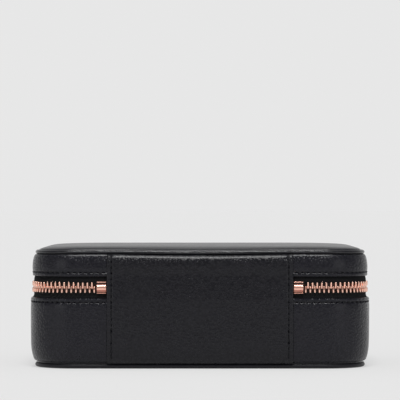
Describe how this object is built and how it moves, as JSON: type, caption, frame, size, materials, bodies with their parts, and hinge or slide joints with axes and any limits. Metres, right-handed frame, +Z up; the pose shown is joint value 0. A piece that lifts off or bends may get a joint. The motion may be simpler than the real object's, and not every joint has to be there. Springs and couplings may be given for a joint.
{
  "type": "leather jewellery case",
  "caption": "Zip-around leather jewellery case with a padded hinged lid, metal zip, mirror, divided base and ring rolls.",
  "frame": {"origin": "middle of the underside that the case stands on", "axes": "+Z up, +Y towards the hinge panel at the back, -Y towards the zip sliders at the front, X along the case's width"},
  "size_m": [0.19, 0.1361, 0.0686],
  "materials": {
    "leather": "pebbled, semi-matt",
    "piping_leather": "smooth, semi-matt",
    "suede": "brushed",
    "foam": "matt",
    "board": "matt",
    "zip_tape": "woven",
    "rose_gold": "polished",
    "mirror_glass": "polished"
  },
  "bodies": {
    "base": {"base_bottom_leather": "leather", "base_bottom_padding": "foam", "base_floor_board": "board", "base_floor_lining": "suede", "base_wall_board": "board", "base_wall_padding": "foam", "base_wall_lining": "suede", "base_side_leather": "leather", "base_piping": "piping_leather", "base_hinge_backing": "board", "base_zip_tape": "zip_tape", "base_teeth_front": "rose_gold", "base_teeth_left": "rose_gold", "base_teeth_right": "rose_gold", "zip_stop_left": "rose_gold", "zip_stop_right": "rose_gold", "hinge_panel": "leather", "hinge_lining": "suede", "long_divider": "suede", "middle_divider": "suede", "cross_divider": "suede", "ring_roll_1": "suede", "ring_roll_2": "suede", "ring_roll_3": "suede", "ring_roll_4": "suede", "ring_roll_5": "suede", "ring_roll_6": "suede"},
    "lid": {"lid_top_leather": "leather", "lid_top_padding": "foam", "lid_top_board": "board", "lid_top_lining": "suede", "lid_wall_board": "board", "lid_wall_padding": "foam", "lid_wall_lining": "suede", "lid_side_leather": "leather", "lid_piping": "piping_leather", "lid_hinge_backing": "board", "lid_zip_tape": "zip_tape", "lid_teeth_front": "rose_gold", "lid_teeth_left": "rose_gold", "lid_teeth_right": "rose_gold", "mirror": "mirror_glass", "mirror_frame": "leather"},
    "left_slider": {"slider_left": "rose_gold"},
    "right_slider": {"slider_right": "rose_gold"},
    "left_pull": {"pull_left": "rose_gold"},
    "right_pull": {"pull_right": "rose_gold"}
  },
  "joints": [
    {"name": "lid_hinge", "type": "hinge", "parent": "base", "child": "lid", "pos_m": [0, 0.06625, 0.045], "axis": [-1, 0, 0], "range_deg": [0, 170], "deforming": ["hinge_panel", "hinge_lining"]},
    {"name": "left_slider_slide", "type": "slide", "parent": "base", "child": "left_slider", "axis": [-1, 0, 0], "range_m": [0, 0.055], "deforming": ["lid_teeth_front", "base_teeth_front"]},
    {"name": "right_slider_slide", "type": "slide", "parent": "base", "child": "right_slider", "axis": [1, 0, 0], "range_m": [0, 0.055], "deforming": ["lid_teeth_front", "base_teeth_front"]},
    {"name": "left_pull_swing", "type": "hinge", "parent": "left_slider", "child": "left_pull", "pos_m": [-0.00625, -0.06797, 0.045], "axis": [-1, 0, 0], "range_deg": [-4, 175]},
    {"name": "right_pull_swing", "type": "hinge", "parent": "right_slider", "child": "right_pull", "pos_m": [0.00625, -0.06797, 0.045], "axis": [-1, 0, 0], "range_deg": [-4, 175]}
  ]
}
